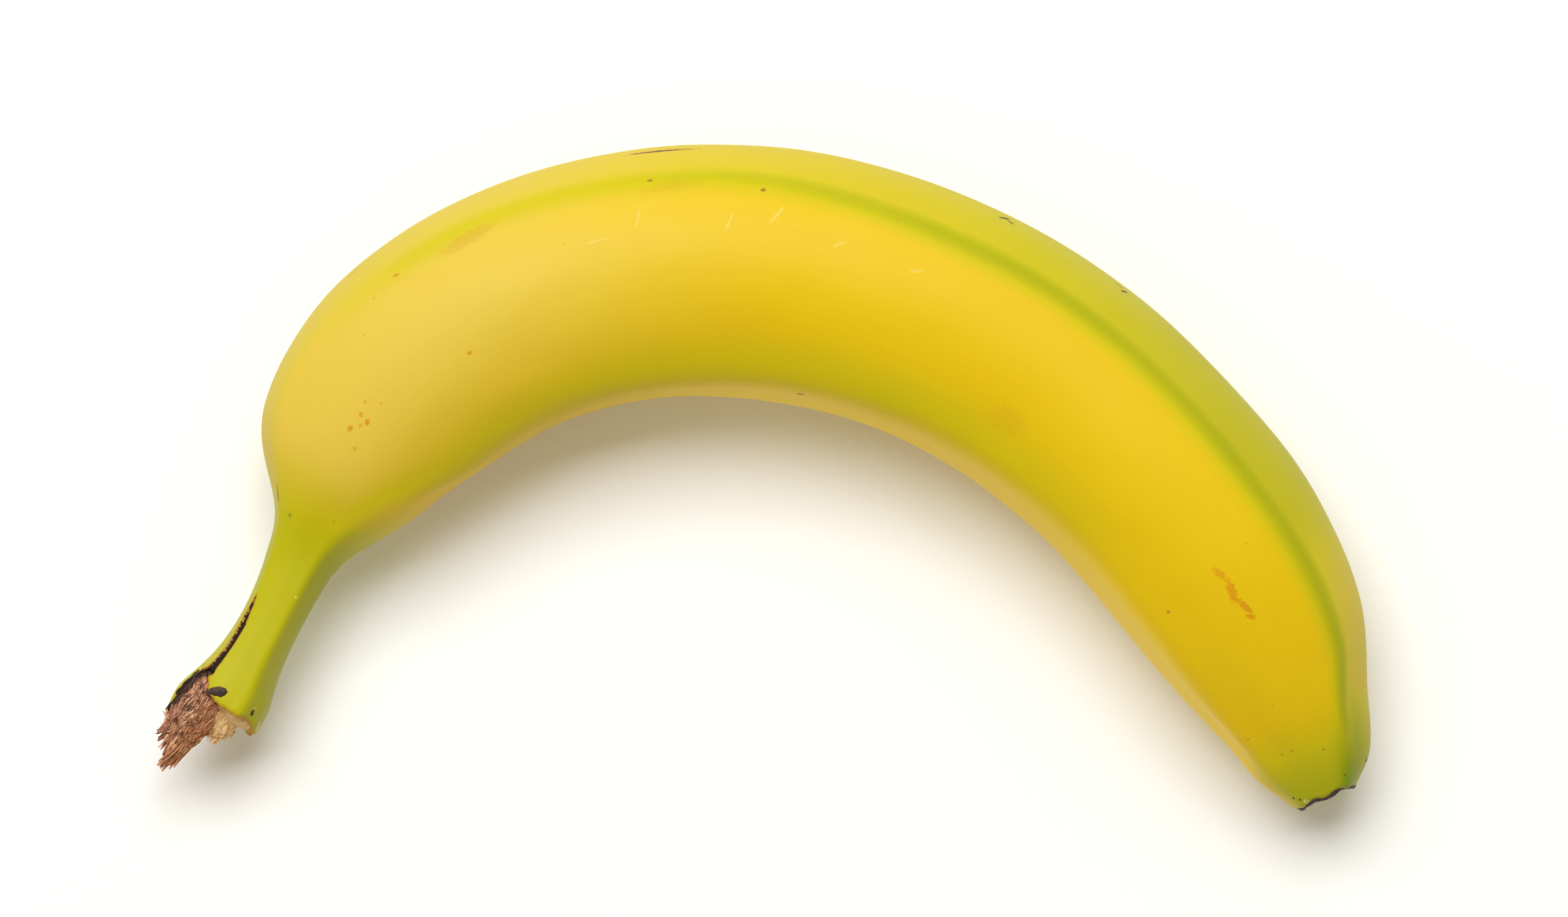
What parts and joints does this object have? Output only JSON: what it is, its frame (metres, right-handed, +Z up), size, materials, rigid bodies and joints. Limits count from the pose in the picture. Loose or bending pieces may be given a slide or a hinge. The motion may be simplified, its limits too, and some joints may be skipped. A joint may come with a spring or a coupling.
{
  "type": "banana",
  "caption": "Whole ripe banana lying on its side: a curved, softly ridged yellow peel with greenish edges, a stalk torn from its bunch and a dried dark tip.",
  "frame": {"origin": "the middle of the base of the bounding box, on the surface that the fruit lies on", "axes": "+X from the stalk end to the tip end, +Y to the outside of the bend, +Z up; the bend lies flat in X and Y"},
  "size_m": [0.1778, 0.0976, 0.0351],
  "materials": {
    "peel": "satin",
    "dried_fibre": "matte",
    "pith": "matte",
    "dried_scar": "matte"
  },
  "bodies": {
    "root": {"banana": "peel"}
  },
  "joints": []
}
